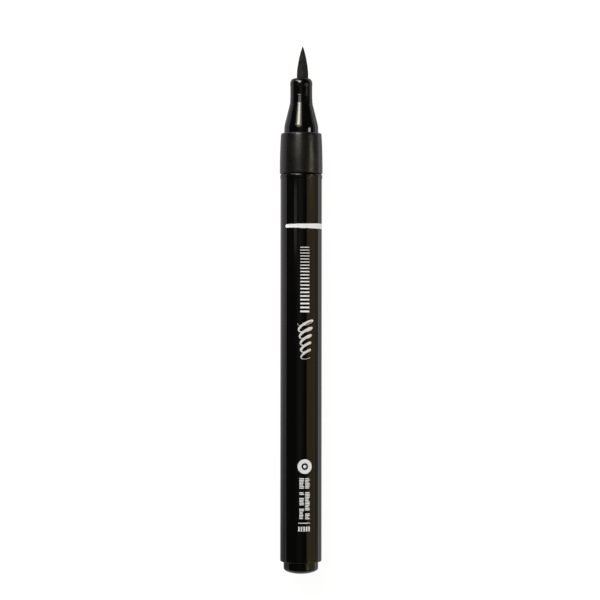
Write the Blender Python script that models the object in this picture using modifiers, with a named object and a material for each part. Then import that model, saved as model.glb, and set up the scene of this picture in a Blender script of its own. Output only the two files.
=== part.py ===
"""A capillary brush pen without its cap, lying on its side with its brush tip towards -X.

Run it with: blender --background --python part.py

Every piece is turned about its own +Z axis, which is measured from the tail of the pen to its
tip. An empty, pen_axis, then lays the whole pen down on the XY plane, with the side that
carries the printing facing up. All sizes are in metres.
"""

import math

import bmesh
import bpy
from mathutils import Matrix, Vector

MM = 0.001

# Driving dimensions: the barrel's diameter sets the scale of the rest.
BARREL_R = 5.50 * MM
OVERALL_LENGTH = 140.0 * MM
WALL = 1.15 * MM
SLIDE_GAP = 0.10 * MM  # radial clearance where one piece slides in another
SEAT_GAP = 0.10 * MM  # axial clearance where one piece stops against another

# Stations along the pen, from the end of the tail.
DOME_HEIGHT = 1.5 * MM
BARREL_REAR = 3.3 * MM
PLUG_SEAT = 4.1 * MM
PLUG_SPIGOT_END = 9.5 * MM
RESERVOIR_REAR = 12.0 * MM
RESERVOIR_FRONT = 96.0 * MM
SPIGOT_REAR = 96.4 * MM
BARREL_FRONT = 106.1 * MM
COLLAR_REAR = 106.4 * MM
NOSE_FLANGE_REAR = 115.0 * MM
COLLAR_FRONT = 116.9 * MM
SLEEVE_SEAT = 126.9 * MM
NOSE_FRONT = 131.4 * MM
OGIVE_START = 132.6 * MM

# Radii that pieces share.
BORE_R = BARREL_R - WALL
SPIGOT_R = BORE_R - SLIDE_GAP
MOUTH_BEAD_R = BARREL_R + 0.10 * MM
COLLAR_R = 5.68 * MM
COLLAR_TAPER = 0.29 * MM
COLLAR_BORE_R = 3.55 * MM
NOSE_TUBE_R = COLLAR_BORE_R - SLIDE_GAP
NOSE_BASE_R = 4.53 * MM
NOSE_NECK_R = 2.92 * MM
MOUTH_R = 1.90 * MM
TAIL_R = 4.60 * MM
NIB_R = 1.51 * MM
RELAY_R = 1.10 * MM
WRAP_R = 3.70 * MM
WRAP_THICKNESS = 0.15 * MM
RIB_COUNT = 6
FLUTE_COUNT = 4

# The brush tip bends about this point, just inside the mouth of the nose.
FLEX_PIVOT = NOSE_FRONT - 0.4 * MM

TURN_STEPS = 40
ARC_STEPS = 3
AXIS_MERGE = 0.001 * MM


def rounded(corners):
    """Profile points from corners (radius, height) or (radius, height, fillet), with arcs at fillets."""
    points = []
    for index, corner in enumerate(corners):
        here = Vector(corner[:2])
        if len(corner) == 2:
            points.append(here)
            continue
        back = (Vector(corners[index - 1][:2]) - here).normalized()
        ahead = (Vector(corners[(index + 1) % len(corners)][:2]) - here).normalized()
        fillet = corner[2]
        half = back.angle(ahead) / 2
        centre = here + (back + ahead).normalized() * fillet / math.sin(half)
        start = (here + back * fillet / math.tan(half) - centre).normalized()
        end = (here + ahead * fillet / math.tan(half) - centre).normalized()
        points += [centre + fillet * start.slerp(end, k / ARC_STEPS) for k in range(ARC_STEPS + 1)]
    return points


def material(name, colour, roughness, metallic=0.0):
    """A Principled material, made once and shared by every piece that asks for it."""
    made = bpy.data.materials.get(name)
    if made is None:
        made = bpy.data.materials.new(name)
        made.use_nodes = True
        shader = made.node_tree.nodes["Principled BSDF"]
        shader.inputs["Base Color"].default_value = (*colour, 1.0)
        shader.inputs["Roughness"].default_value = roughness
        shader.inputs["Metallic"].default_value = metallic
    return made


def turned(name, profile, finish, ring=False):
    """A piece turned about Z from profile points that run down its outer side. A ring's profile closes."""
    mesh = bpy.data.meshes.new(name)
    count = len(profile)
    edges = [(k, (k + 1) % count) for k in range(count if ring else count - 1)]
    mesh.from_pydata([(p[0], 0.0, p[1]) for p in profile], edges, [])
    mesh.materials.append(finish)
    piece = bpy.data.objects.new(name, mesh)
    parts.objects.link(piece)
    screw = piece.modifiers.new("turn", "SCREW")
    screw.steps = screw.render_steps = TURN_STEPS
    screw.use_merge_vertices = True
    screw.merge_threshold = AXIS_MERGE
    return piece


def bars(name, count, size, distance, centre_height):
    """A tool of boxes, each size (radial, across, along), spaced round Z at a distance from it."""
    mesh = bmesh.new()
    for k in range(count):
        place = Matrix.Rotation(2 * math.pi * k / count, 4, "Z")
        place @= Matrix.Translation((distance, 0.0, centre_height))
        bmesh.ops.create_cube(mesh, size=1.0, matrix=place @ Matrix.Diagonal((*size, 1.0)))
    data = bpy.data.meshes.new(name)
    mesh.to_mesh(data)
    mesh.free()
    tool = bpy.data.objects.new(name, data)
    tool.hide_render = True
    tool.display_type = "WIRE"
    tools.objects.link(tool)
    return tool


def combine(piece, tool, operation):
    boolean = piece.modifiers.new(tool.name, "BOOLEAN")
    boolean.operation = operation
    boolean.object = tool


def make_barrel(finish):
    """The tube: a low bead round its mouth, a seat for the plug, and ribs that centre the reservoir."""
    bead_length = 1.2 * MM
    profile = rounded([
        (BORE_R, BARREL_FRONT),
        (MOUTH_BEAD_R, BARREL_FRONT, 0.35 * MM),
        (MOUTH_BEAD_R, BARREL_FRONT - bead_length),
        (BARREL_R, BARREL_FRONT - 1.2 * bead_length),
        (BARREL_R, BARREL_REAR, 0.25 * MM),
        (TAIL_R + SLIDE_GAP, BARREL_REAR),
        (TAIL_R + SLIDE_GAP, PLUG_SEAT),
        (BORE_R, PLUG_SEAT),
    ])
    barrel = turned("barrel", profile, finish, ring=True)
    rib_tip_r = WRAP_R + 1.5 * SLIDE_GAP
    rib_depth = BORE_R + 0.4 * WALL - rib_tip_r
    rib_rear = RESERVOIR_REAR + 2 * MM
    rib_length = RESERVOIR_FRONT - 2 * MM - rib_rear
    ribs = bars(
        "barrel_ribs", RIB_COUNT, (rib_depth, 0.6 * MM, rib_length),
        rib_tip_r + rib_depth / 2, rib_rear + rib_length / 2,
    )
    combine(barrel, ribs, "UNION")
    return barrel


def make_tail_plug(finish):
    """The domed plug in the barrel's rear end, with two sealing beads and a cross that holds the reservoir."""
    cup_r = 3.3 * MM
    cup_floor = 2.2 * MM
    bead_r = SPIGOT_R + 0.06 * MM
    head_front = PLUG_SEAT - SEAT_GAP
    beads = []
    for bead in (7.8 * MM, 5.8 * MM):
        beads += [(SPIGOT_R, bead + 0.3 * MM), (bead_r, bead), (SPIGOT_R, bead - 0.3 * MM)]
    dome_steps = 6
    dome = [
        (TAIL_R * math.cos(a), DOME_HEIGHT * (1 - math.sin(a)))
        for a in (math.pi / 2 * k / dome_steps for k in range(1, dome_steps + 1))
    ]
    dome[-1] = (0.0, 0.0)
    profile = rounded([
        (0.0, cup_floor),
        (cup_r, cup_floor),
        (cup_r, PLUG_SPIGOT_END),
        (SPIGOT_R - 0.4 * MM, PLUG_SPIGOT_END),
        (SPIGOT_R, PLUG_SPIGOT_END - 0.6 * MM),
        *beads,
        (SPIGOT_R, head_front),
        (TAIL_R, head_front),
        (TAIL_R, DOME_HEIGHT),
        *dome,
    ])
    plug = turned("tail_plug", profile, finish)
    cross_rear = cup_floor - 0.5 * MM
    cross_length = RESERVOIR_REAR - 3 * SEAT_GAP - cross_rear
    for k, name in enumerate(("plug_cross_a", "plug_cross_b")):
        arm = bars(name, 1, (6.2 * MM, 0.8 * MM, cross_length), 0.0, cross_rear + cross_length / 2)
        arm.rotation_euler.z = k * math.pi / 2
        arm.parent = pen_axis
        combine(plug, arm, "UNION")
    return plug


def make_collar(finish):
    """The satin ring in front of the barrel, with the spigot that plugs into it."""
    bulge_steps = 6
    length = COLLAR_FRONT - COLLAR_REAR
    bulge = [
        (COLLAR_R - COLLAR_TAPER * share**2.4, COLLAR_REAR + share * length)
        for share in (1 - k / bulge_steps for k in range(1, bulge_steps))
    ]
    counterbore_r = NOSE_BASE_R + SLIDE_GAP
    snap_bead = 100.4 * MM
    profile = rounded([
        (COLLAR_BORE_R, NOSE_FLANGE_REAR - SEAT_GAP),
        (counterbore_r, NOSE_FLANGE_REAR - SEAT_GAP),
        (counterbore_r, COLLAR_FRONT),
        (COLLAR_R - COLLAR_TAPER, COLLAR_FRONT, 0.45 * MM),
        *bulge,
        (COLLAR_R, COLLAR_REAR, 0.15 * MM),
        (SPIGOT_R, COLLAR_REAR),
        (SPIGOT_R, snap_bead + 0.4 * MM),
        (SPIGOT_R + 0.06 * MM, snap_bead),
        (SPIGOT_R, snap_bead - 0.4 * MM),
        (SPIGOT_R, SPIGOT_REAR + 0.8 * MM),
        (SPIGOT_R - 0.35 * MM, SPIGOT_REAR),
        (COLLAR_BORE_R, SPIGOT_REAR),
    ])
    return turned("collar", profile, finish, ring=True)


def make_nose_cone(finish):
    """The glossy nib holder: lip, neck, flare and base outside, and a tube that runs back through the collar."""
    sleeve_bore_r = 2.35 * MM
    chamber_r = 2.75 * MM
    neck_rear = 124.85 * MM
    cone_rear = 118.8 * MM
    lip_height = 1.1 * MM
    profile = rounded([
        (MOUTH_R, NOSE_FRONT - 0.15 * MM),
        (MOUTH_R + 0.15 * MM, NOSE_FRONT),
        (NOSE_NECK_R + 0.05 * MM, NOSE_FRONT, 0.90 * MM),
        (NOSE_NECK_R + 0.05 * MM, NOSE_FRONT - 1.3 * lip_height),
        (NOSE_NECK_R, NOSE_FRONT - 1.8 * lip_height),
        (NOSE_NECK_R, SLEEVE_SEAT),
        (NOSE_NECK_R + 0.10 * MM, neck_rear, 5.0 * MM),
        (NOSE_BASE_R, cone_rear, 6.0 * MM),
        (NOSE_BASE_R, NOSE_FLANGE_REAR),
        (NOSE_TUBE_R, NOSE_FLANGE_REAR),
        (NOSE_TUBE_R, SPIGOT_REAR),
        (chamber_r, SPIGOT_REAR),
        (chamber_r, 112.0 * MM),
        (sleeve_bore_r, 111.0 * MM),
        (sleeve_bore_r, SLEEVE_SEAT),
        (MOUTH_R, SLEEVE_SEAT),
    ])
    return turned("nose_cone", profile, finish, ring=True)


def make_nib_sleeve(finish):
    """The sleeve that grips the nib's stem and the relay core, with flutes that let air past."""
    front = SLEEVE_SEAT - SEAT_GAP
    rear = 108.0 * MM
    outer_r = 2.25 * MM
    step = 113.9 * MM
    profile = [
        (NIB_R + SLIDE_GAP, front),
        (outer_r, front),
        (outer_r, 110.8 * MM),
        (2.65 * MM, 110.4 * MM),
        (2.65 * MM, rear),
        (RELAY_R + SLIDE_GAP, rear),
        (RELAY_R + SLIDE_GAP, step - 0.4 * MM),
        (NIB_R + SLIDE_GAP, step),
    ]
    sleeve = turned("nib_sleeve", profile, finish, ring=True)
    flute_depth = 0.5 * MM
    flute_length = front - 110.0 * MM
    flutes = bars(
        "sleeve_flutes", FLUTE_COUNT, (flute_depth, 0.6 * MM, 1.2 * flute_length),
        outer_r + 0.05 * MM, front - 0.5 * flute_length,
    )
    combine(sleeve, flutes, "DIFFERENCE")
    return sleeve


def make_nib_stem(finish):
    """The part of the fibre nib that the sleeve grips."""
    front = FLEX_PIVOT - NIB_R - 2 * SEAT_GAP
    rear = 114.2 * MM
    profile = rounded([
        (0.0, front),
        (NIB_R, front, 0.15 * MM),
        (NIB_R, rear, 0.3 * MM),
        (0.0, rear),
    ])
    return turned("nib_stem", profile, finish)


def make_brush_tip(finish):
    """The bare end of the nib: an ogive point on a short cylinder with a round root at the flex pivot."""
    ogive_steps = 9
    length = OVERALL_LENGTH - OGIVE_START
    ogive = [
        (NIB_R * (1 - (1 - share) ** 1.45) ** 0.8, OVERALL_LENGTH - share * length)
        for share in ((k / ogive_steps) ** 1.5 for k in range(1, ogive_steps + 1))
    ]
    root_steps = 5
    root = [
        (NIB_R * math.cos(a), FLEX_PIVOT - NIB_R * math.sin(a))
        for a in (math.pi / 2 * k / root_steps for k in range(root_steps + 1))
    ]
    root[-1] = (0.0, root[-1][1])
    return turned("brush_tip", [(0.0, OVERALL_LENGTH), *ogive, *root], finish)


def make_relay_core(finish):
    """The fibre rod that carries ink from the reservoir to the nib."""
    front = 113.4 * MM
    rear = 91.2 * MM
    profile = rounded([
        (0.0, front),
        (RELAY_R, front, 0.15 * MM),
        (RELAY_R, rear + 1.5 * MM),
        (0.35 * RELAY_R, rear),
        (0.0, rear),
    ])
    return turned("relay_core", profile, finish)


def make_reservoir_core(finish):
    """The bundle of fibre that holds the ink, with the hole that the relay core sits in."""
    core_r = WRAP_R - WRAP_THICKNESS - SLIDE_GAP
    hole_r = RELAY_R + SLIDE_GAP
    hole_end = RESERVOIR_FRONT - 5.2 * MM
    profile = rounded([
        (0.0, hole_end),
        (hole_r, hole_end),
        (hole_r, RESERVOIR_FRONT),
        (core_r, RESERVOIR_FRONT, 0.3 * MM),
        (core_r, RESERVOIR_REAR, 0.3 * MM),
        (0.0, RESERVOIR_REAR),
    ])
    return turned("reservoir_core", profile, finish)


def make_reservoir_wrap(finish):
    """The film tube round the reservoir's fibre."""
    profile = [
        (WRAP_R - WRAP_THICKNESS, RESERVOIR_FRONT),
        (WRAP_R, RESERVOIR_FRONT),
        (WRAP_R, RESERVOIR_REAR),
        (WRAP_R - WRAP_THICKNESS, RESERVOIR_REAR),
    ]
    return turned("reservoir_wrap", profile, finish, ring=True)


def shade(piece):
    """Turns the piece's modifiers into its mesh, smooth but for its sharp edges."""
    graph = bpy.context.evaluated_depsgraph_get()
    mesh = bpy.data.meshes.new_from_object(piece.evaluated_get(graph), depsgraph=graph)
    piece.modifiers.clear()
    piece.data = mesh
    mesh.shade_smooth()
    mesh.set_sharp_from_angle(angle=math.radians(30))


for old in list(bpy.data.objects):
    bpy.data.objects.remove(old)
parts = bpy.data.collections.new("brush_pen")
tools = bpy.data.collections.new("brush_pen_tools")
bpy.context.scene.collection.children.link(parts)
bpy.context.scene.collection.children.link(tools)

# Lays the pen along X at the height of its widest ring, with a flat of its turning underneath.
pen_axis = bpy.data.objects.new("pen_axis", None)
pen_axis.rotation_mode = "ZYX"
pen_axis.rotation_euler = (0.0, -math.pi / 2, math.pi / TURN_STEPS)
pen_axis.location = (OVERALL_LENGTH / 2, 0.0, COLLAR_R * math.cos(math.pi / TURN_STEPS))
parts.objects.link(pen_axis)

gloss = material("black_gloss_plastic", (0.012, 0.012, 0.012), 0.12)
satin = material("black_satin_plastic", (0.028, 0.027, 0.024), 0.45)
felt = material("inked_fibre", (0.014, 0.014, 0.013), 0.85)
film = material("reservoir_film", (0.75, 0.76, 0.74), 0.25)
natural = material("natural_plastic", (0.62, 0.61, 0.56), 0.40)

pieces = [
    make_barrel(gloss),
    make_tail_plug(gloss),
    make_collar(satin),
    make_nose_cone(gloss),
    make_nib_sleeve(natural),
    make_nib_stem(felt),
    make_brush_tip(felt),
    make_relay_core(felt),
    make_reservoir_core(felt),
    make_reservoir_wrap(film),
]
for item in pieces + list(tools.objects):
    item.parent = pen_axis
bpy.context.view_layer.update()
for item in pieces:
    shade(item)
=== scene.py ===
import math
import random

import bmesh
import bpy
from mathutils import Matrix, Vector, noise


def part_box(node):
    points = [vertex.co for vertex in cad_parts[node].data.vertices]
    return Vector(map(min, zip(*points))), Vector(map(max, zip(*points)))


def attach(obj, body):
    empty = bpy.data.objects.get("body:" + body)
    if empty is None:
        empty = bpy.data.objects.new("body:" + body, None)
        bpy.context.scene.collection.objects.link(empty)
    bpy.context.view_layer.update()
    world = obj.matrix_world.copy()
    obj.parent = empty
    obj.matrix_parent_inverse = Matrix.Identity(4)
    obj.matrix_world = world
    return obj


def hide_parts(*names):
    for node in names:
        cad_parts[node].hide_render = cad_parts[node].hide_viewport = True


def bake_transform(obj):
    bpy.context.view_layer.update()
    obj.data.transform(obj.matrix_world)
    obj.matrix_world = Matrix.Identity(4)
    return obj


# The looks of a brush pen without its cap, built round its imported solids. It lies on a white
# table with its brush tip towards -X, its printing facing up, and the camera straight above it.
# All sizes are in metres. Distances along the pen are measured from the end of its tail, and
# angles round it from the line that faces up, positive towards +Y.

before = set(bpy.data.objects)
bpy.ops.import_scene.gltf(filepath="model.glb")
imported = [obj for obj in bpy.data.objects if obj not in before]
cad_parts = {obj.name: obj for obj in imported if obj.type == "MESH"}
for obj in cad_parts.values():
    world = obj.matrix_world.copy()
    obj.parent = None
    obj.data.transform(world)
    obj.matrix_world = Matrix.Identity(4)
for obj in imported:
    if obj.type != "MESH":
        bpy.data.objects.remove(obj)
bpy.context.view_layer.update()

MM = 0.001
CAD_SIDES = 40  # the solids' circles have this many sides, with flats at the top and bottom
SIDES = 240
ARC_STEPS = 8

TAIL_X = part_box("tail_plug")[1].x
LENGTH = TAIL_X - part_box("brush_tip")[0].x
AXIS_HEIGHT = (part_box("collar")[0].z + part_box("collar")[1].z) / 2

# Carries a point (up from the axis, towards +Y, along from the tail) into the frame.
PEN = Matrix((
    (0.0, 0.0, -1.0, TAIL_X),
    (0.0, 1.0, 0.0, 0.0),
    (1.0, 0.0, 0.0, AXIS_HEIGHT),
    (0.0, 0.0, 0.0, 1.0),
))

# Sizes that the pieces share, as in the solids.
WALL = 1.15 * MM
GAP = 0.10 * MM
MOUTH_BEAD = 0.10 * MM


def span(node):
    """Where a node starts and ends along the pen, as distances from the tail's end."""
    low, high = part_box(node)
    return TAIL_X - high.x, TAIL_X - low.x


def radius(node):
    """The largest radius of a turned node, as the true circle round its flat sides."""
    low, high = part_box(node)
    return (high.y - low.y) / 2 / math.cos(math.pi / CAD_SIDES)


BODY_R = radius("barrel") - MOUTH_BEAD
BORE_R = BODY_R - WALL
SPIGOT_R = BORE_R - GAP
NIB_R = radius("brush_tip")
RELAY_R = radius("relay_core")


# ---- Shapes ----------------------------------------------------------------------------------

def rounded(corners, steps=ARC_STEPS):
    """Outline points from corners (radius, distance) or (radius, distance, fillet)."""
    points = []
    for index, corner in enumerate(corners):
        here = Vector(corner[:2])
        if len(corner) == 2:
            points.append(here)
            continue
        fillet = corner[2]
        back = (Vector(corners[index - 1][:2]) - here).normalized()
        ahead = (Vector(corners[(index + 1) % len(corners)][:2]) - here).normalized()
        half = back.angle(ahead) / 2
        centre = here + (back + ahead).normalized() * fillet / math.sin(half)
        start = (here + back * fillet / math.tan(half) - centre).normalized()
        end = (here + ahead * fillet / math.tan(half) - centre).normalized()
        points += [centre + fillet * start.slerp(end, k / steps) for k in range(steps + 1)]
    return points


def held(outline, ring):
    """The outline with a point just inside each end of its long runs, which keeps them flat."""
    gap, long_run = 0.04 * MM, 0.5 * MM
    points = []
    count = len(outline)
    for k in range(count if ring else count - 1):
        start, end = Vector(outline[k]), Vector(outline[(k + 1) % count])
        points.append(start)
        run = (end - start).length
        if run > long_run:
            points += [start.lerp(end, gap / run), end.lerp(start, gap / run)]
    return points if ring else points + [Vector(outline[-1])]


def close_spaced(outline, step):
    """The same open outline with no two points further apart than step."""
    points = [Vector(outline[0])]
    for target in outline[1:]:
        start, target = points[-1], Vector(target)
        pieces = max(1, math.ceil((target - start).length / step))
        points += [start.lerp(target, k / pieces) for k in range(1, pieces + 1)]
    return points


def placed(name, mesh):
    """An object from a mesh in the pen's own coordinates."""
    piece = bpy.data.objects.new(name, mesh)
    bpy.context.scene.collection.objects.link(piece)
    piece.matrix_world = PEN
    return piece


def smooth(mesh):
    """Shades the mesh smooth but for its sharp edges."""
    mesh.shade_smooth()
    mesh.set_sharp_from_angle(angle=math.radians(32))


def mesh_piece(name, points, faces, finish):
    """A smooth object from points in the pen's own coordinates."""
    mesh = bpy.data.meshes.new(name)
    mesh.from_pydata([tuple(p) for p in points], [], faces)
    mesh.materials.append(finish)
    smooth(mesh)
    return placed(name, mesh)


def turned(name, outline, finish, ring=False, relief=None, sides=SIDES):
    """A piece turned round the pen's axis. Its outline runs down the outer side, tip end first.

    A ring's outline closes, and any other starts and ends on the axis. relief(angle, radius,
    distance) gives the radius and distance that a point really has, for flutes and ribs.
    """
    points, faces, rows = [], [], []
    for r, z in held(outline, ring):
        if r < 1e-9:
            rows.append([len(points)] * sides)
            points.append((0.0, 0.0, z))
            continue
        rows.append(range(len(points), len(points) + sides))
        for k in range(sides):
            angle = 2 * math.pi * k / sides
            here_r, here_z = relief(angle, r, z) if relief else (r, z)
            points.append((here_r * math.cos(angle), here_r * math.sin(angle), here_z))
    pairs = list(zip(rows, rows[1:]))
    if ring:
        pairs.append((rows[-1], rows[0]))
    for upper, lower in pairs:
        for k in range(sides):
            corners = (upper[k], lower[k], lower[(k + 1) % sides], upper[(k + 1) % sides])
            faces.append(tuple(dict.fromkeys(corners)))
    return mesh_piece(name, points, faces, finish)


def off_centre(angle, count, r):
    """The arc length, at radius r, from an angle to the nearest of count even places."""
    turn = 2 * math.pi / count
    return abs((angle + turn / 2) % turn - turn / 2) * r


# ---- Materials -------------------------------------------------------------------------------

def node(tree, kind, inputs=None, **settings):
    """Adds a shader node, its inputs given as values or as other nodes' outputs."""
    made = tree.nodes.new("ShaderNode" + kind)
    for key, value in settings.items():
        setattr(made, key, value)
    for key, value in (inputs or {}).items():
        if isinstance(value, bpy.types.NodeSocket):
            tree.links.new(value, made.inputs[key])
        else:
            made.inputs[key].default_value = value
    return made


def blank(name):
    """A new material's tree, its Principled shader, and the object's own coordinates."""
    made = bpy.data.materials.new(name)
    made.use_nodes = True
    tree = made.node_tree
    where = node(tree, "TexCoord").outputs["Object"]
    return made, tree, tree.nodes["Principled BSDF"], where


def cloud(tree, where, size, detail=3.0, stretch=(1.0, 1.0, 1.0), rough=0.5):
    """Noise whose lumps are about size across, drawn out along each axis by stretch."""
    scale = tuple(1.0 / (size * s) for s in stretch)
    placed = node(tree, "Mapping", {"Vector": where, "Scale": scale}).outputs["Vector"]
    settings = {"Vector": placed, "Scale": 1.0, "Detail": detail, "Roughness": rough}
    return node(tree, "TexNoise", settings).outputs["Fac"]


def remap(tree, value, low, high, to_low, to_high):
    """The value carried from the range low..high to the range to_low..to_high, and clamped there."""
    ends = {"Value": value, "From Min": low, "From Max": high, "To Min": to_low, "To Max": to_high}
    return node(tree, "MapRange", ends).outputs["Result"]


def maths(tree, operation, *values):
    """What a Math node makes of the values."""
    return node(tree, "Math", dict(enumerate(values)), operation=operation).outputs[0]


def product(tree, one, other):
    return maths(tree, "MULTIPLY", one, other)


def sums(tree, *values):
    total = values[0]
    for value in values[1:]:
        total = maths(tree, "ADD", total, value)
    return total


def mixed(tree, factor, one, other):
    """A colour that runs from one to other as factor runs from 0 to 1."""
    inputs = {0: factor, 6: one, 7: other}  # the places of the colour sockets
    return node(tree, "Mix", inputs, data_type="RGBA").outputs[2]


def bump(tree, shader, height, depth, under=None):
    """Adds relief to the shader, depth metres deep for a height that runs from 0 to 1."""
    inputs = {"Height": height, "Distance": depth, "Strength": 1.0}
    if under is not None:
        inputs["Normal"] = under
    normal = node(tree, "Bump", inputs).outputs["Normal"]
    tree.links.new(normal, shader.inputs["Normal"])
    return normal


def ramp(tree, value, stops):
    """A colour ramp over value, from stops of (place, red, green, blue)."""
    made = node(tree, "ValToRGB", {"Fac": value})
    elements = made.color_ramp.elements
    while len(elements) < len(stops):
        elements.new(0.5)
    for element, (place, *colour) in zip(elements, stops):
        element.position = place
        element.color = (*colour, 1.0)
    return made.outputs["Color"]


def shades(tree, shader, factor, dark, light):
    """Base colour that runs from dark to light with factor."""
    colour = ramp(tree, factor, [(0.0, *dark), (1.0, *light)])
    tree.links.new(colour, shader.inputs["Base Color"])


def edge_wear(tree, low, high):
    """0 on open surfaces, rising to 1 along edges that stand out."""
    pointed = node(tree, "NewGeometry").outputs["Pointiness"]
    return remap(tree, pointed, low, high, 0.0, 1.0)


def hairlines(tree, where):
    """Fine handling scratches, 1 where one runs: some lie along the pen and some round it."""
    along = cloud(tree, where, 0.05 * MM, 1.0, (1.0, 1.0, 160.0))
    across = cloud(tree, where, 0.05 * MM, 1.0, (90.0, 90.0, 1.0))
    patches = cloud(tree, where, 9.0 * MM, 2.0)
    lengthwise = remap(tree, along, 0.70, 0.76, 0.0, 1.0)
    crosswise = remap(tree, across, 0.72, 0.78, 0.0, 0.6)
    worn = remap(tree, patches, 0.45, 0.65, 0.0, 1.0)
    return product(tree, sums(tree, lengthwise, crosswise), worn)


def gloss_black():
    """Polished black polypropylene: faint flow ripple, finger haze and hairline scratches."""
    made, tree, shader, where = blank("gloss_black")
    haze = cloud(tree, where, 5.0 * MM, 4.0)
    shades(tree, shader, haze, (0.0009, 0.0009, 0.0008), (0.0019, 0.0018, 0.0015))
    scratch = hairlines(tree, where)
    polish = remap(tree, haze, 0.3, 0.7, 0.05, 0.085)
    marks = remap(tree, scratch, 0.0, 1.0, 0.0, 0.16)
    worn = product(tree, edge_wear(tree, 0.52, 0.62), 0.10)
    tree.links.new(sums(tree, polish, marks, worn), shader.inputs["Roughness"])
    ripple = cloud(tree, where, 3.0 * MM, 1.0, (1.0, 1.0, 5.0))
    under = bump(tree, shader, ripple, 0.003 * MM)
    bump(tree, shader, scratch, 0.0005 * MM, under)
    return made


def satin_black():
    """Spark-eroded satin plastic, rubbed a little smoother in patches by fingers."""
    made, tree, shader, where = blank("satin_black")
    grain = cloud(tree, where, 0.16 * MM, 3.0, rough=0.6)
    rub = cloud(tree, where, 4.0 * MM, 3.0)
    shades(tree, shader, grain, (0.0026, 0.0026, 0.0020), (0.0058, 0.0058, 0.0044))
    base = remap(tree, rub, 0.3, 0.7, 0.22, 0.29)
    fine = remap(tree, grain, 0.3, 0.7, -0.03, 0.05)
    worn = product(tree, edge_wear(tree, 0.52, 0.60), -0.14)
    tree.links.new(sums(tree, base, fine, worn), shader.inputs["Roughness"])
    bump(tree, shader, grain, 0.010 * MM)
    return made


def inked_fibre(name, along, dark, light, roughness):
    """Bonded fibre soaked in ink. Its strands run along local X or Z."""
    made, tree, shader, where = blank(name)
    drawn = (45.0, 1.0, 1.0) if along == "X" else (1.0, 1.0, 45.0)
    strands = cloud(tree, where, 0.045 * MM, 3.0, drawn, 0.65)
    blotch = cloud(tree, where, 1.3 * MM, 3.0)
    tone = product(tree, strands, blotch)
    shades(tree, shader, remap(tree, tone, 0.12, 0.42, 0, 1), dark, light)
    dull = remap(tree, strands, 0.3, 0.7, roughness, roughness + 0.2)
    tree.links.new(dull, shader.inputs["Roughness"])
    shader.inputs["Specular IOR Level"].default_value = 0.1
    bump(tree, shader, strands, 0.03 * MM)
    return made


def white_ink(name, dark, light):
    """Screen-printed ink, slightly uneven where it lies thin."""
    made, tree, shader, where = blank(name)
    speckle = cloud(tree, where, 0.10 * MM, 3.0, rough=0.6)
    shades(tree, shader, remap(tree, speckle, 0.30, 0.55, 0, 1), dark, light)
    tree.links.new(remap(tree, speckle, 0.3, 0.7, 0.38, 0.55), shader.inputs["Roughness"])
    bump(tree, shader, speckle, 0.004 * MM)
    return made


def natural_plastic():
    """Uncoloured polypropylene, with a little ink drawn along it."""
    made, tree, shader, where = blank("natural_plastic")
    stain = cloud(tree, where, 1.6 * MM, 4.0, (1.0, 1.0, 3.0))
    plain, inked = (0.66, 0.65, 0.60), (0.06, 0.06, 0.07)
    shades(tree, shader, remap(tree, stain, 0.52, 0.72, 0, 1), plain, inked)
    tree.links.new(remap(tree, stain, 0.3, 0.7, 0.34, 0.5), shader.inputs["Roughness"])
    shader.inputs["Subsurface Weight"].default_value = 0.15
    shader.inputs["Subsurface Scale"].default_value = 0.5 * MM
    bump(tree, shader, cloud(tree, where, 0.2 * MM, 2.0), 0.004 * MM)
    return made


def clear_film():
    """The reservoir's clear film, with a few lengthwise creases."""
    made, tree, shader, where = blank("reservoir_film")
    crease = cloud(tree, where, 0.5 * MM, 2.0, (1.0, 1.0, 30.0))
    shades(tree, shader, crease, (0.10, 0.10, 0.11), (0.26, 0.26, 0.27))
    tree.links.new(remap(tree, crease, 0.3, 0.7, 0.10, 0.22), shader.inputs["Roughness"])
    bump(tree, shader, crease, 0.03 * MM)
    return made


# ---- Pieces of the pen -----------------------------------------------------------------------

def make_barrel(finish):
    """The tube: a low bead round its mouth, a seat for the plug behind, and six ribs inside."""
    rear, front = span("barrel")
    bead_end = front - 1.2 * MM
    seat = rear + 0.8 * MM
    seat_r = radius("tail_plug") + GAP
    rib_rear, rib_front = rear + 10.7 * MM, front - 12.1 * MM
    rib_tip = radius("reservoir_wrap") + 1.5 * GAP
    rib_count, rib_half = 6, 0.32 * MM
    bore = [(BORE_R, seat), (BORE_R, rib_rear), (BORE_R, rib_rear + 0.05 * MM)]
    bore += [(BORE_R, rib_front), (BORE_R, rib_front + 0.05 * MM)]
    outline = rounded([
        (BORE_R, front, 0.12 * MM),
        (radius("barrel"), front, 0.50 * MM),
        (radius("barrel"), bead_end, 0.5 * MM),
        (BODY_R, bead_end - 0.25 * MM, 0.5 * MM),
        (BODY_R, rear, 0.28 * MM),
        (seat_r, rear, 0.05 * MM),
        (seat_r, seat),
        *bore,
    ])

    def ribs(angle, r, z):
        """Raises the bore into a rib, between the ribs' ends."""
        inside = rib_rear < z < rib_front + 0.01 * MM and abs(r - BORE_R) < 1e-6
        return (rib_tip if inside and off_centre(angle, rib_count, BORE_R) < rib_half else r), z

    return turned("barrel_shell", outline, finish, ring=True, relief=ribs)


def make_cross_arm(turn, rear, front):
    """One bar of the cross inside the plug, at an angle round the pen's axis."""
    wide, thick, bevel = 6.2 * MM, 0.8 * MM, 0.08 * MM
    arm = bmesh.new()
    place = Matrix.Rotation(turn, 4, "Z")
    place @= Matrix.Translation((0.0, 0.0, (rear + front) / 2))
    size = Matrix.Diagonal((wide, thick, front - rear, 1.0))
    bmesh.ops.create_cube(arm, size=1.0, matrix=place @ size)
    bmesh.ops.bevel(arm, geom=arm.edges[:], offset=bevel, segments=3, affect="EDGES")
    mesh = bpy.data.meshes.new("cross_arm")
    arm.to_mesh(mesh)
    arm.free()
    return placed("cross_arm", mesh)


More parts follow.
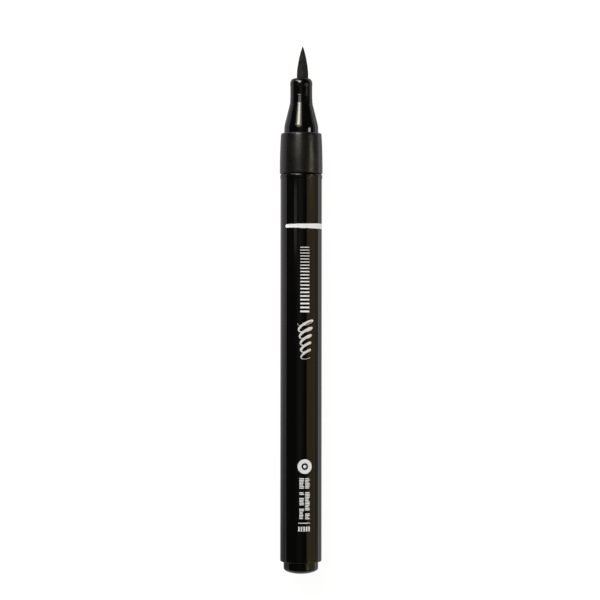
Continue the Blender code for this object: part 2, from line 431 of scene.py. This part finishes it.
def make_tail_plug(finish):
    """The domed plug, with a gate mark on its dome, two sealing beads and a cross inside."""
    front = span("tail_plug")[1]
    head_r = radius("tail_plug")
    dome = 1.5 * MM
    head_front = 4.0 * MM
    cup_end = 9.5 * MM
    cup_r, floor = 3.3 * MM, 2.2 * MM
    gate_r, gate_depth = 0.55 * MM, 0.10 * MM
    rise, half = 0.06 * MM, 0.3 * MM
    beads = []
    for bead in (7.8 * MM, 5.8 * MM):
        beads += [(SPIGOT_R, bead + half), (SPIGOT_R + rise, bead), (SPIGOT_R, bead - half)]
    turn_steps = 22
    quarter = [math.pi / 2 * k / turn_steps for k in range(1, turn_steps + 1)]
    arc = [(head_r * math.cos(a), dome * (1 - math.sin(a))) for a in quarter]
    arc = [p for p in arc if p[0] > gate_r * 1.3]
    outline = rounded([
        (0.0, floor),
        (cup_r, floor, 0.2 * MM),
        (cup_r, cup_end),
        (SPIGOT_R - 0.4 * MM, cup_end),
        (SPIGOT_R, cup_end - 0.6 * MM),
        *beads,
        (SPIGOT_R, head_front),
        (head_r, head_front, 0.06 * MM),
        (head_r, dome),
        *arc,
        (gate_r, 0.0),
        (gate_r * 0.9, gate_depth),
        (0.0, gate_depth),
    ])
    plug = turned("rear_plug_moulding", outline, finish)
    arms = [make_cross_arm(math.pi / 2 * k, floor - 0.5 * MM, front) for k in range(2)]
    for arm in arms:
        join = plug.modifiers.new("join", "BOOLEAN")
        join.operation = "UNION"
        join.object = arm
    settle(plug)
    for arm in arms:
        bpy.data.objects.remove(arm)
    return plug


def settle(piece):
    """Turns the piece's modifiers into its mesh, less the slivers that a join can leave."""
    graph = bpy.context.evaluated_depsgraph_get()
    mesh = bpy.data.meshes.new_from_object(piece.evaluated_get(graph), depsgraph=graph)
    piece.modifiers.clear()
    joined = bmesh.new()
    joined.from_mesh(mesh)
    bmesh.ops.remove_doubles(joined, verts=joined.verts[:], dist=0.001 * MM)
    joined.to_mesh(mesh)
    joined.free()
    piece.data = mesh
    smooth(mesh)


def make_collar(finish):
    """The satin ring and the spigot that plugs into the barrel."""
    seam = 0.08 * MM
    rear = span("barrel")[1] + seam
    spigot_rear, front = span("collar")
    widest, taper, bulge_steps = radius("collar"), 0.29 * MM, 24
    seat = front - 2.0 * MM
    bulge = [
        (widest - taper * share**2.4, rear + share * (front - rear))
        for share in (1 - k / bulge_steps for k in range(2, bulge_steps))
    ]
    seat_r = radius("nose_cone") + GAP
    bore_r = 3.55 * MM
    snap, snap_half, snap_rise = 100.4 * MM, 0.4 * MM, 0.06 * MM
    lead_in = 0.35 * MM
    return turned("collar_shell", rounded([
        (bore_r, seat),
        (seat_r, seat),
        (seat_r, front, 0.06 * MM),
        (widest - taper, front, 0.45 * MM),
        *bulge,
        (widest, rear, 0.08 * MM),
        (SPIGOT_R, rear),
        (SPIGOT_R, snap + snap_half),
        (SPIGOT_R + snap_rise, snap),
        (SPIGOT_R, snap - snap_half),
        (SPIGOT_R, spigot_rear + 0.8 * MM),
        (SPIGOT_R - lead_in, spigot_rear),
        (bore_r, spigot_rear),
    ]), finish, ring=True)


def make_nose(finish):
    """The glossy nose: lip, neck, flare and base, and the tube behind them."""
    rear, front = span("nose_cone")
    base_r, neck_r, mouth_r = radius("nose_cone"), 2.92 * MM, 1.90 * MM
    flange = span("collar")[1] - 1.9 * MM
    tube_r, chamber_r, sleeve_r = 3.45 * MM, 2.75 * MM, 2.35 * MM
    sleeve_seat = front - 4.5 * MM
    chamber_end, sleeve_step = 112.0 * MM, 111.0 * MM
    ridge, ridge_half, ridge_rise = sleeve_seat, 0.16 * MM, 0.028 * MM
    flare_front, flare_rear = front - 6.66 * MM, front - 12.68 * MM
    lip_end, neck_front = front - 1.60 * MM, front - 2.10 * MM
    lip_r, lip_wide, lip_long, lip_steps = neck_r + 0.05 * MM, 0.86 * MM, 1.40 * MM, 16
    quarter = [math.pi / 2 * (1 - k / lip_steps) for k in range(lip_steps + 1)]
    lip = [
        (lip_r - lip_wide * (1 - math.cos(a)), front - lip_long * (1 - math.sin(a)))
        for a in quarter
    ]
    return turned("nose_shell", rounded([
        (mouth_r, front, 0.12 * MM),
        *lip,
        (lip_r, lip_end, 1.0 * MM),
        (neck_r, neck_front, 1.0 * MM),
        (neck_r, ridge + ridge_half),
        (neck_r + ridge_rise, ridge, 0.15 * MM),
        (neck_r, ridge - ridge_half),
        (neck_r + 0.10 * MM, flare_front, 5.0 * MM),
        (base_r, flare_rear, 6.0 * MM),
        (base_r, flange),
        (tube_r, flange),
        (tube_r, rear),
        (chamber_r, rear),
        (chamber_r, chamber_end),
        (sleeve_r, sleeve_step),
        (sleeve_r, sleeve_seat),
        (mouth_r, sleeve_seat),
    ]), finish, ring=True)


def make_sleeve(finish):
    """The fluted sleeve that grips the nib."""
    rear, front = span("nib_sleeve")
    outer, flange_r = 2.25 * MM, radius("nib_sleeve")
    flange_end, step = rear + 2.4 * MM, rear + 5.9 * MM
    flute_count, flute_half, flute_floor = 4, 0.3 * MM, 2.05 * MM
    grip_r, relay_hole = NIB_R + GAP, RELAY_R + GAP
    flute_rear = flange_end + 0.4 * MM

    def flutes(angle, r, z):
        """Cuts the air flutes into the outside, in front of the flange."""
        outside = z > flute_rear and r > flute_floor
        cut = outside and off_centre(angle, flute_count, outer) < flute_half
        return (flute_floor if cut else r), z

    return turned("nib_sleeve_moulding", rounded([
        (grip_r, front, 0.08 * MM),
        (outer, front, 0.10 * MM),
        (outer, flute_rear + 0.05 * MM),
        (outer, flute_rear),
        (flange_r, flange_end, 0.1 * MM),
        (flange_r, rear, 0.1 * MM),
        (relay_hole, rear),
        (relay_hole, step - 0.4 * MM),
        (grip_r, step),
    ]), finish, ring=True, relief=flutes)


def make_nib(finish):
    """The fibre nib from its stem's end to its point, one mesh that bends at the nose's mouth.

    It sits a little off the nose's axis, towards +Y, and carries the fibres' lengthwise grooves.
    """
    rear = span("nib_stem")[0]
    point, blunt = 7.4 * MM, 0.09 * MM
    steps, crowding = 64, 1.4  # the stations crowd together towards the point
    fullness, slimness = 1.45, 0.8
    ogive = []
    for share in ((k / steps) ** crowding for k in range(1, steps + 1)):
        r = NIB_R * (1 - (1 - share) ** fullness) ** slimness
        ogive.append((r, LENGTH - share * point))
    stem = [(NIB_R, rear + 0.3 * MM), (NIB_R - 0.3 * MM, rear), (0.0, rear)]
    outline = [(0.0, LENGTH), (blunt, LENGTH - 0.012 * MM)]
    outline += [p for p in ogive if p[0] > 1.6 * blunt] + stem
    outline = close_spaced(outline, 0.25 * MM)
    mouth = span("nose_cone")[1]
    lean, lean_length = 0.33 * MM, 14.0 * MM
    tip_lean = 0.05 * MM
    groove, groove_size = 0.016 * MM, 0.13 * MM

    def fibres(angle, r, z):
        """Grooves the surface lengthwise, less and less towards the point."""
        place = Vector((math.cos(angle), math.sin(angle), 0.0)) * r / groove_size
        place.z = z / (3.5 * MM)
        fine = noise.noise(place) + 0.5 * noise.noise(place * 2.1)
        coarse = noise.noise(Vector((place.x * 0.25, place.y * 0.25, place.z * 2.0)))
        depth = groove * min(1.0, r / (0.5 * NIB_R))
        return r + depth * (fine + 0.6 * coarse), z

    nib = turned("fibre_nib", outline, finish, relief=fibres, sides=280)
    for vertex in nib.data.vertices:
        share = min(1.0, max(0.0, (vertex.co.z - mouth + lean_length) / lean_length))
        vertex.co.y += lean * share**2 + tip_lean * max(0.0, vertex.co.z - mouth) / point
    return nib


def make_relay_core(finish):
    """The rod that carries ink forward, pointed where it enters the reservoir."""
    rear, front = span("relay_core")
    return turned("relay_rod", close_spaced(rounded([
        (0.0, front),
        (RELAY_R, front, 0.15 * MM),
        (RELAY_R, rear + 1.5 * MM),
        (0.35 * RELAY_R, rear),
        (0.0, rear),
    ]), 2.0 * MM), finish, sides=96)


def make_reservoir_core(finish):
    """The fibre bundle, with the hole that the relay rod sits in."""
    rear, front = span("reservoir_core")
    core_r, hole_r, hole_end = radius("reservoir_core"), RELAY_R + GAP, front - 5.2 * MM

    def lumpy(angle, r, z):
        """Sinks the outside a little in soft lumps, and leaves the hole true."""
        place = Vector((math.cos(angle) * 7, math.sin(angle) * 7, z / (6 * MM)))
        depth = 0.03 * MM * (1 + noise.noise(place))
        return (r - depth if r > hole_r * 1.5 else r), z

    return turned("reservoir_fibre", close_spaced(rounded([
        (0.0, hole_end),
        (hole_r, hole_end),
        (hole_r, front),
        (core_r, front, 0.3 * MM),
        (core_r, rear, 0.3 * MM),
        (0.0, rear),
    ]), 2.0 * MM), finish, relief=lumpy)


def make_reservoir_wrap(finish):
    """The film tube round the fibre bundle."""
    rear, front = span("reservoir_wrap")
    outer = radius("reservoir_wrap")
    inner = outer - 0.15 * MM
    return turned("reservoir_film_tube", rounded([
        (inner, front, 0.03 * MM),
        (outer, front, 0.05 * MM),
        (outer, rear, 0.05 * MM),
        (inner, rear, 0.03 * MM),
    ], 3), finish, ring=True)


# ---- Printing --------------------------------------------------------------------------------

INK_FILM = 0.012 * MM


def put_in_order(film):
    """Orders edges and faces by their points, because an extrusion leaves their order to chance."""
    film.verts.index_update()
    for parts in (film.edges, film.faces):
        ranked = sorted(parts, key=lambda part: sorted(vertex.index for vertex in part.verts))
        rank = {part: place for place, part in enumerate(ranked)}
        parts.sort(key=rank.get)


def printed(name, flat, finish):
    """A film of ink on the barrel from flat, a bmesh of (arc length towards +Y, distance, 0)."""
    step = 0.18 * MM  # between the cuts that let the film bend round the barrel
    reach = [v.co.x for v in flat.verts]
    cut = math.floor(min(reach) / step) * step
    while cut < max(reach):
        every = flat.verts[:] + flat.edges[:] + flat.faces[:]
        bmesh.ops.bisect_plane(
            flat, geom=every, plane_co=(cut, 0, 0), plane_no=(1, 0, 0), dist=1e-9,
        )
        cut += step
    bmesh.ops.remove_doubles(flat, verts=flat.verts[:], dist=1e-7)
    bmesh.ops.dissolve_degenerate(flat, edges=flat.edges[:], dist=1e-7)
    for face in flat.faces:
        if face.calc_area() and face.normal.z < 0:
            face.normal_flip()
    raised = bmesh.ops.extrude_face_region(flat, geom=flat.faces[:])["geom"]
    top = {v for v in raised if isinstance(v, bmesh.types.BMVert)}
    for vertex in flat.verts:
        arc, along = vertex.co.x, vertex.co.y
        out = BODY_R + (INK_FILM if vertex in top else -INK_FILM / 2)
        vertex.co = (out * math.cos(arc / BODY_R), out * math.sin(arc / BODY_R), along)
    bmesh.ops.recalc_face_normals(flat, faces=flat.faces[:])
    put_in_order(flat)
    mesh = bpy.data.meshes.new(name)
    flat.to_mesh(mesh)
    flat.free()
    mesh.materials.append(finish)
    return placed(name, mesh)


def add_loop(flat, points):
    """A flat face from (arc length, distance) points in order round its edge."""
    flat.faces.new([flat.verts.new((arc, along, 0.0)) for arc, along in points])


def add_bar(flat, arc, along, width, height):
    """A block that is width across the pen and height along it, from a low corner."""
    add_loop(flat, [
        (arc, along), (arc + width, along),
        (arc + width, along + height), (arc, along + height),
    ])


def add_disc(flat, arc, along, outer, inner=0.0, sides=48):
    """A disc, or a ring where inner is given."""
    turns = [2 * math.pi * k / sides for k in range(sides)]
    rim = [(arc + outer * math.cos(a), along + outer * math.sin(a)) for a in turns]
    if not inner:
        add_loop(flat, rim)
        return
    outside = [flat.verts.new((*p, 0.0)) for p in rim]
    inside = [
        flat.verts.new((arc + inner * math.cos(a), along + inner * math.sin(a), 0.0)) for a in turns
    ]
    for k in range(sides):
        after = (k + 1) % sides
        flat.faces.new((outside[k], outside[after], inside[after], inside[k]))


def print_width_scale(finish):
    """Bars that thicken along the pen, as a line-width scale."""
    flat = bmesh.new()
    start, end = 86.6 * MM, 69.4 * MM
    low, height = -0.20 * MM, 2.42 * MM
    count, thin, thick = 20, 0.18 * MM, 0.48 * MM
    widths = [thin + (thick - thin) * (k / (count - 1)) ** 1.2 for k in range(count)]
    space = (start - end - sum(widths)) / (count - 1)
    along = start
    for width in widths:
        add_bar(flat, low, along - width, height, width)
        along -= width + space
    return printed("print_width_scale", flat, finish)


def print_flourish(finish):
    """A looping penmanship line, thick on its down strokes and thin on its up strokes."""
    flat = bmesh.new()
    start, run = 67.3 * MM, 10.2 * MM
    middle, tall = 1.25 * MM, 2.20 * MM
    loops, steps = 5.5, 360
    thin, thick = 0.26 * MM, 0.72 * MM
    path = []
    for k in range(steps + 1):
        share = k / steps
        turn = 2 * math.pi * loops * share
        size = 0.55 + 0.45 * (1.0 - share) ** 2  # the loops shrink along the line
        sway = 0.80 * MM * size
        lean = 0.38 * tall * size * math.cos(turn)
        along = start - run * share - sway * math.sin(turn) - lean
        path.append(Vector((middle - tall * size * math.cos(turn), along)))
    left, right = [], []
    for k, here in enumerate(path):
        ahead = path[min(k + 1, steps)] - path[max(k - 1, 0)]
        ahead.normalize()
        press = 0.5 - 0.5 * ahead.x
        taper = min(1.0, 6 * k / steps, 6 * (steps - k) / steps)
        half = (thin + (thick - thin) * press**1.5) / 2 * (0.25 + 0.75 * taper)
        side = Vector((-ahead.y, ahead.x)) * half
        left.append(flat.verts.new((*(here + side), 0.0)))
        right.append(flat.verts.new((*(here - side), 0.0)))
    for k in range(steps):
        flat.faces.new((left[k], left[k + 1], right[k + 1], right[k]))
    return printed("print_flourish", flat, finish)


def print_disc(finish):
    """A ring round a spot."""
    flat = bmesh.new()
    arc, along = 1.02 * MM, 28.85 * MM
    add_disc(flat, arc, along, 1.93 * MM, 0.90 * MM)
    add_disc(flat, arc, along, 0.42 * MM, sides=32)
    return printed("print_disc", flat, finish)


def print_small_rows(finish, draw):
    """Two rows of fine ticks in groups, in place of the small print."""
    flat = bmesh.new()
    height = 1.24 * MM
    tick, space = 0.26 * MM, 0.15 * MM
    rows = (
        (1.12 * MM, ((25.8, 22.7), (22.1, 17.1), (16.5, 15.0))),
        (-0.42 * MM, ((25.8, 22.9), (22.1, 21.3), (20.6, 18.5), (17.8, 15.0))),
    )
    for low, groups in rows:
        for start, end in groups:
            along = start * MM
            while along - tick > end * MM:
                short = draw.choice((0.0, 0.0, 0.14, 0.24)) * height
                add_bar(flat, low, along - tick, height - short, tick)
                along -= tick + space
    return printed("print_small_rows", flat, finish)


def print_rule_and_bars(finish):
    """A thin rule with a row of five short bars below it."""
    flat = bmesh.new()
    low, width = -0.72 * MM, 3.12 * MM
    add_bar(flat, low, 13.87 * MM, width, 0.21 * MM)
    count, gap = 5, 0.28 * MM
    bar = (width + gap) / count - gap
    for k in range(count):
        add_bar(flat, low + k * (bar + gap), 11.8 * MM, bar, 1.24 * MM)
    return printed("print_rule_and_bars", flat, finish)


def touches_at_corner(faces):
    """Whether the faces round a point are just two that share no side."""
    return len(faces) == 2 and not set(faces[0].edges) & set(faces[1].edges)


def is_inked(share, row, rows):
    """Whether the brush stroke leaves ink here. It runs dry towards its end and its sides."""
    across = abs(2 * (row + 0.5) / rows - 1)
    streak = noise.noise(Vector((share * 9, row * 0.42, 1.0)))
    dryness = max(0.0, share - 0.62) * 2.6 + 0.22 * across**6
    return streak + 0.75 > dryness * 1.25


def print_brush_stroke(finish):
    """The white brush stroke round the barrel: narrow where it starts, streaky where it ends."""
    flat = bmesh.new()
    start, end = math.radians(-48), math.radians(205)
    middle = 92.15 * MM
    columns, rows = 170, 30
    widest = 0.72 * MM
    grid = []
    for i in range(columns + 1):
        angle = start + (end - start) * i / columns
        share = i / columns
        swell = 0.62 + 0.38 * min(1.0, share * 2.1)  # full width from about the middle on
        rounding = min(1.0, 0.3 + (share * 50) ** 0.5)  # of the stroke's blunt start
        edge = 0.05 * MM * noise.noise(Vector((angle * 4, 0.0, 3.0)))
        drift = 0.06 * MM * noise.noise(Vector((angle * 1.5, 8.0, 0.0)))
        half = widest * swell * rounding + edge
        line = [middle + drift + half * (2 * j / rows - 1) for j in range(rows + 1)]
        grid.append([flat.verts.new((angle * BODY_R, along, 0.0)) for along in line])
    for i in range(columns):
        for j in range(rows):
            if is_inked(i / columns, j, rows):
                flat.faces.new((grid[i][j], grid[i + 1][j], grid[i + 1][j + 1], grid[i][j + 1]))
    pinching = {v.link_faces[0] for v in flat.verts if touches_at_corner(v.link_faces)}
    bmesh.ops.delete(flat, geom=list(pinching), context="FACES")
    loose = [v for v in flat.verts if not v.link_faces]
    bmesh.ops.delete(flat, geom=loose, context="VERTS")
    return printed("print_brush_stroke", flat, finish)


# ---- Studio ----------------------------------------------------------------------------------

def painted_table_reflection(tree, where):
    """The table's colour as the pen mirrors it: a painted reflection of a studio round the pen.

    It holds painted shade beside the pen, a painted bright line a little way off on the +Y side,
    painted shade fading to the tail on the -Y side, and it is plain past the pen's ends and
    further off.
    """
    place = node(tree, "SeparateXYZ", {"Vector": where})
    along, aside = place.outputs["X"], place.outputs["Y"]
    reach = 0.4
    # (distance towards +Y, brightness): painted shade close to the pen on both sides, and a painted
    # bright line 18 to 27 mm off on the +Y side.
    stops = (
        (-0.400, 0.80), (-0.120, 0.50), (-0.056, 0.31), (-0.030, 0.37), (-0.014, 0.42),
        (-0.009, 0.36), (0.016, 0.40), (0.018, 1.15), (0.027, 1.20), (0.030, 0.12),
        (0.100, 0.12), (0.400, 0.80),
    )
    across = remap(tree, aside, -reach, reach, 0.0, 1.0)
    beside = ramp(tree, across, [((y + reach) / (2 * reach), g, 0.93 * g, g) for y, g in stops])
    # On the -Y side the painted shade grows darker towards the tail.
    fade = remap(tree, along, 0.0, 0.07, 1.35, 0.45)
    left = maths(tree, "LESS_THAN", aside, 0.0)
    gain = node(tree, "Mix", {"Factor": left, "A": 1.0, "B": fade}).outputs["Result"]
    beside = node(tree, "VectorMath", {0: beside, 1: gain}, operation="MULTIPLY").outputs[0]
    past_end = remap(tree, maths(tree, "ABSOLUTE", along), 0.071, 0.080, 0.0, 1.0)
    return mixed(tree, past_end, beside, (0.5, 0.5, 0.5, 1.0))


def make_floor():
    """A white table, lit from within like a light box, so the shadows on it stay faint.

    The camera sees it evenly white; what the pen mirrors of it is a painted reflection, with painted
    shade beside the pen and a painted bright line.
    """
    bpy.ops.mesh.primitive_plane_add(size=6.0)
    floor = bpy.context.object
    floor.name = "studio_floor"
    made, tree, shader, where = blank("studio_floor")
    paper = cloud(tree, where, 0.4, 2.0)
    shades(tree, shader, paper, (0.09, 0.09, 0.09), (0.11, 0.11, 0.11))
    shader.inputs["Roughness"].default_value = 0.9
    shader.inputs["Specular IOR Level"].default_value = 0.0
    to_camera = node(tree, "LightPath").outputs["Is Camera Ray"]
    white = (0.95, 0.95, 0.95, 1.0)
    # The camera sees even white; every other ray sees the painted reflection with its painted shade.
    glow = mixed(tree, to_camera, painted_table_reflection(tree, where), white)
    tree.links.new(glow, shader.inputs["Emission Color"])
    shader.inputs["Emission Strength"].default_value = 1.0
    floor.data.materials.append(made)


def make_world():
    """White where the camera sees it, and for everything else a dark room, dimly lit overhead."""
    world = bpy.data.worlds.new("studio")
    bpy.context.scene.world = world
    world.use_nodes = True
    tree = world.node_tree
    direction = node(tree, "TexCoord").outputs["Generated"]
    side = node(tree, "SeparateXYZ", {"Vector": direction})
    away = maths(tree, "ABSOLUTE", sums(tree, side.outputs["Y"], 0.10))
    fade = remap(tree, side.outputs["X"], 0.07, 0.12, 0.13, 0.05)
    overhead = remap(tree, away, 0.0, 0.42, fade, 0.0)
    above = maths(tree, "GREATER_THAN", side.outputs["Z"], 0.3)
    glow = sums(tree, product(tree, overhead, above), 0.03)
    seen = node(tree, "LightPath").outputs["Is Camera Ray"]
    strength = maths(tree, "MAXIMUM", glow, seen)
    background = tree.nodes["Background"]
    background.inputs["Color"].default_value = (1.0, 1.0, 1.0, 1.0)
    tree.links.new(strength, background.inputs["Strength"])


def make_light(name, place, size, radiance, colour, mirrored=True):
    """A panel at place that faces the pen's axis. Its size is along the pen, then across it."""
    light = bpy.data.lights.new(name, "AREA")
    light.shape = "RECTANGLE"
    light.size, light.size_y = size
    light.energy = radiance * math.pi * size[0] * size[1]
    light.color = colour
    lamp = bpy.data.objects.new(name, light)
    lamp.location = place
    lamp.rotation_euler.x = math.atan2(-place[1], place[2] - AXIS_HEIGHT)
    lamp.visible_camera = False
    lamp.visible_glossy = mirrored
    bpy.context.scene.collection.objects.link(lamp)


def make_lights():
    """The panels that the pen mirrors, and two that light it without being mirrored."""
    white, warm, amber = (1.0, 1.0, 1.0), (1.0, 0.93, 0.81), (1.0, 0.78, 0.32)
    make_light("key", (-0.288, -0.143, 0.40), (0.145, 0.135), 17.0, warm)
    make_light("key_edge", (-0.350, -0.143, 0.41), (0.300, 0.340), 3.0, warm)
    make_light("key_skirt", (-0.168, -0.124, 0.42), (0.080, 0.190), 3.0, warm)
    make_light("mouth_line", (-0.560, -0.400, 0.34), (0.240, 0.400), 6.5, white)
    make_light("barrel_line", (-0.045, -0.247, 0.40), (0.034, 0.130), 0.46, warm)
    make_light("nose_glint", (-0.086, 0.380, 0.25), (0.028, 0.130), 7.5, white)
    make_light("neck_line", (-0.115, 0.390, 0.22), (0.050, 0.150), 0.5, amber)
    make_light("tail_glint", (0.168, 0.340, 0.31), (0.062, 0.090), 4.4, warm)
    make_light("warm_wall", (0.090, 0.320, 0.20), (0.340, 0.380), 0.5, amber)
    make_light("left_fill", (0.030, -0.450, 0.12), (0.300, 0.300), 3.0, white, mirrored=False)
    make_light("right_fill", (0.030, 0.450, 0.12), (0.300, 0.300), 4.2, white, mirrored=False)


def make_camera():
    """Straight above the pen, with the tip at the top of the picture."""
    lens, sensor = 110.0, 36.0
    pen_share = 0.878  # of the picture's height
    below_centre = 0.0165  # how far down the pen's middle lies, in picture heights
    right_of_centre = 0.0018
    turn = math.radians(0.05)
    scale = LENGTH / pen_share
    data = bpy.data.cameras.new("camera")
    data.lens, data.sensor_width = lens, sensor
    data.clip_start, data.clip_end = 0.01, 20.0
    camera = bpy.data.objects.new("camera", data)
    middle = TAIL_X - LENGTH / 2
    height = AXIS_HEIGHT + lens / sensor * scale
    camera.location = (middle - below_centre * scale, -right_of_centre * scale, height)
    camera.rotation_euler = (0.0, 0.0, math.pi / 2 + turn)
    bpy.context.scene.collection.objects.link(camera)
    bpy.context.scene.camera = camera


# ---- The scene -------------------------------------------------------------------------------

make_camera()
make_world()
make_floor()
make_lights()
bpy.context.scene.view_settings.view_transform = "Standard"

gloss = gloss_black()
satin = satin_black()
rod_fibre = inked_fibre("relay_fibre", "Z", (0.006, 0.006, 0.007), (0.03, 0.03, 0.032), 0.6)
core_fibre = inked_fibre("core_fibre", "Z", (0.010, 0.010, 0.012), (0.07, 0.07, 0.075), 0.7)
nib_fibre = inked_fibre("nib_fibre", "X", (0.005, 0.005, 0.0045), (0.023, 0.023, 0.020), 0.5)
ink = white_ink("white_ink", (0.68, 0.71, 0.77), (0.84, 0.87, 0.93))
grey_ink = white_ink("grey_ink", (0.56, 0.56, 0.56), (0.74, 0.74, 0.74))

# Each piece with the body it rides on, the nodes it stands for and its material slot.
BUILT = [
    (make_barrel(gloss), "barrel_body", ["barrel"], "gloss_shell"),
    (make_tail_plug(gloss), "rear_plug", ["tail_plug"], "gloss_shell"),
    (make_collar(satin), "front_section", ["collar"], "satin_shell"),
    (make_nose(gloss), "front_section", ["nose_cone"], "gloss_shell"),
    (make_sleeve(natural_plastic()), "front_section", ["nib_sleeve"], "natural_plastic"),
    (make_relay_core(rod_fibre), "front_section", ["relay_core"], "inked_fibre"),
    (make_reservoir_core(core_fibre), "barrel_body", ["reservoir_core"], "reservoir_fibre"),
    (make_reservoir_wrap(clear_film()), "barrel_body", ["reservoir_wrap"], "reservoir_film"),
]
for piece, body, nodes, slot in BUILT:
    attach(piece, body)
    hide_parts(*nodes)

for piece in (
    print_width_scale(ink),
    print_flourish(grey_ink),
    print_disc(ink),
    print_small_rows(ink, random.Random(7)),
    print_rule_and_bars(ink),
    print_brush_stroke(ink),
):
    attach(piece, "barrel_body")

nib = make_nib(nib_fibre)
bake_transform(nib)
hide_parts("nib_stem", "brush_tip")
